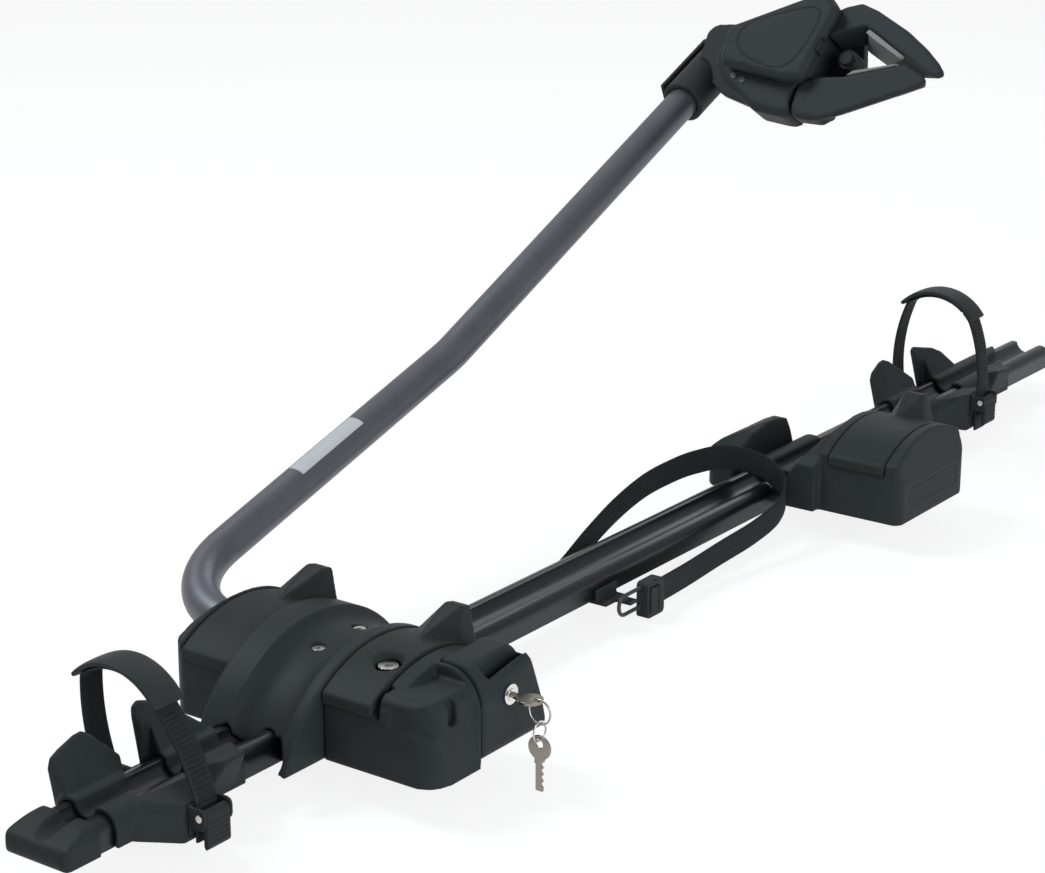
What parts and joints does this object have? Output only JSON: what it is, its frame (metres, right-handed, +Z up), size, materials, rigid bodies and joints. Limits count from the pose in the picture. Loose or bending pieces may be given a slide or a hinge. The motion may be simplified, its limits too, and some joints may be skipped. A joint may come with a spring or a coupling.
{
  "type": "roof-mounted bike carrier",
  "caption": "Roof bike carrier: dark rail on two feet, a tilting frame arm with a clamp head, strapped wheel trays, a lock with keys.",
  "frame": {"origin": "seat plane of the feet, midway between the two crossbar bolt holes of the front foot", "axes": "+X along the rail towards its open end, +Y towards the side of the frame arm, +Z up"},
  "size_m": [1.4, 0.3731, 0.4453],
  "materials": {
    "black_plastic": "satin black moulded plastic",
    "lid_plastic": "satin black moulded plastic with fine grain",
    "dark_anodised": "dark grey satin anodised",
    "steel": "bright zinc",
    "chrome": "polished",
    "key_metal": "nickel plated brass",
    "rubber": "matt black",
    "pale_rubber": "pale grey",
    "webbing": "black woven webbing"
  },
  "bodies": {
    "base": {"rail": "dark_anodised", "rail_end_cap": "lid_plastic", "front_bridge": "black_plastic", "front_left_housing": "black_plastic", "front_right_housing": "black_plastic", "lid_pins": "steel", "trough_screws": "steel", "lid_bolt": "steel", "axle_bushes": "rubber", "flap_pin": "steel", "frame_strap": "webbing", "strap_anchor": "black_plastic", "strap_buckle": "black_plastic", "strap_hook": "steel", "front_tray": "black_plastic", "front_wheel_strap": "rubber", "front_strap_pad": "lid_plastic", "front_toothed_strap": "rubber", "front_ratchet_frame": "black_plastic", "front_ratchet_pin": "steel"},
    "left_lid": {"front_left_lid": "lid_plastic"},
    "right_lid": {"front_right_lid": "lid_plastic"},
    "flap": {"lock_flap": "black_plastic", "lock_barrel": "chrome"},
    "plug": {"lock_plug": "chrome", "lock_key": "key_metal"},
    "key_bunch": {"key_rings": "chrome", "spare_key": "key_metal"},
    "arm": {"arm_tube": "dark_anodised", "axle_plug": "steel", "pivot_bolt": "steel", "head_collar": "black_plastic", "collar_pin": "steel", "head_front_shell": "black_plastic", "head_rear_shell": "black_plastic", "paddle_pin": "steel", "upper_jaw": "black_plastic", "upper_jaw_pad": "pale_rubber", "jaw_pin": "steel", "clamp_spindle": "black_plastic", "head_screws": "steel"},
    "lever": {"collar_lever": "lid_plastic"},
    "paddle": {"clamp_paddle": "lid_plastic"},
    "jaw": {"lower_jaw": "black_plastic", "lower_jaw_pad": "pale_rubber"},
    "front_ratchet": {"front_ratchet_lever": "lid_plastic"},
    "rear_wheel_tray": {"rear_tray": "black_plastic", "rear_wheel_strap": "rubber", "rear_strap_pad": "lid_plastic", "rear_toothed_strap": "rubber", "rear_ratchet_frame": "black_plastic", "rear_ratchet_pin": "steel"},
    "rear_ratchet": {"rear_ratchet_lever": "lid_plastic"},
    "rear_foot": {"rear_bridge": "black_plastic", "rear_left_housing": "black_plastic", "rear_right_housing": "black_plastic", "rear_lid_pin": "steel", "rear_end_plate": "lid_plastic"},
    "rear_foot_lid": {"rear_lid": "lid_plastic"},
    "buckle_cam": {"buckle_lever": "lid_plastic"}
  },
  "joints": [
    {"name": "arm_raise", "type": "hinge", "parent": "base", "child": "arm", "pos_m": [0.004, 0.06, 0.046], "axis": [0, -1, 0], "range_deg": [-12, 70]},
    {"name": "left_lid_open", "type": "hinge", "parent": "base", "child": "left_lid", "pos_m": [0.056, 0.06, 0.05241], "axis": [0, 1, 0], "range_deg": [0, 75]},
    {"name": "right_lid_open", "type": "hinge", "parent": "base", "child": "right_lid", "pos_m": [0.056, -0.075, 0.05241], "axis": [0, 1, 0], "range_deg": [0, 75]},
    {"name": "lock_flap_open", "type": "hinge", "parent": "base", "child": "flap", "pos_m": [0.0225, -0.128, 0.008], "axis": [1, 0, 0], "range_deg": [0, 55]},
    {"name": "lock_turn", "type": "hinge", "parent": "flap", "child": "plug", "pos_m": [0.0225, -0.13, 0.044], "axis": [0, -1, 0], "range_deg": [0, 90]},
    {"name": "keys_swing", "type": "hinge", "parent": "plug", "child": "key_bunch", "pos_m": [0.0225, -0.1672, 0.0369], "axis": [1, 0, 0], "range_deg": [-20, 20]},
    {"name": "collar_lever_press", "type": "hinge", "parent": "arm", "child": "lever", "pos_m": [0.78794, 0.162, 0.34999], "axis": [-0.4131, 0, 0.9107], "range_deg": [0, 2.5], "stiffness_Nm_per_rad": 0.8},
    {"name": "paddle_lift", "type": "hinge", "parent": "arm", "child": "paddle", "pos_m": [0.70818, 0.029, 0.37987], "axis": [0.4858, -0.2368, 0.8414], "range_deg": [0, 70]},
    {"name": "jaw_open", "type": "hinge", "parent": "arm", "child": "jaw", "pos_m": [0.702, 0.024, 0.32916], "axis": [0.866, 0, -0.5], "range_deg": [0, 25]},
    {"name": "front_ratchet_lift", "type": "hinge", "parent": "base", "child": "front_ratchet", "pos_m": [-0.185, -0.058, 0.0125], "axis": [-1, 0, 0], "range_deg": [0, 70]},
    {"name": "rear_tray_slide", "type": "slide", "parent": "base", "child": "rear_wheel_tray", "axis": [1, 0, 0], "range_m": [-0.05, 0.12]},
    {"name": "rear_ratchet_lift", "type": "hinge", "parent": "rear_wheel_tray", "child": "rear_ratchet", "pos_m": [0.904, -0.058, 0.0215], "axis": [-1, 0, 0], "range_deg": [0, 70]},
    {"name": "rear_foot_slide", "type": "slide", "parent": "base", "child": "rear_foot", "axis": [1, 0, 0], "range_m": [0, 0.05]},
    {"name": "rear_lid_open", "type": "hinge", "parent": "rear_foot", "child": "rear_foot_lid", "pos_m": [0.704, -0.093, 0.05241], "axis": [0, 1, 0], "range_deg": [0, 75]},
    {"name": "buckle_cam_open", "type": "hinge", "parent": "base", "child": "buckle_cam", "pos_m": [0.342, -0.049, -0.007], "axis": [0, 0, 1], "range_deg": [0, 80]}
  ],
  "couplings": [
    {"joint": "jaw_open", "follows": "paddle_lift", "ratio": 0.35}
  ]
}
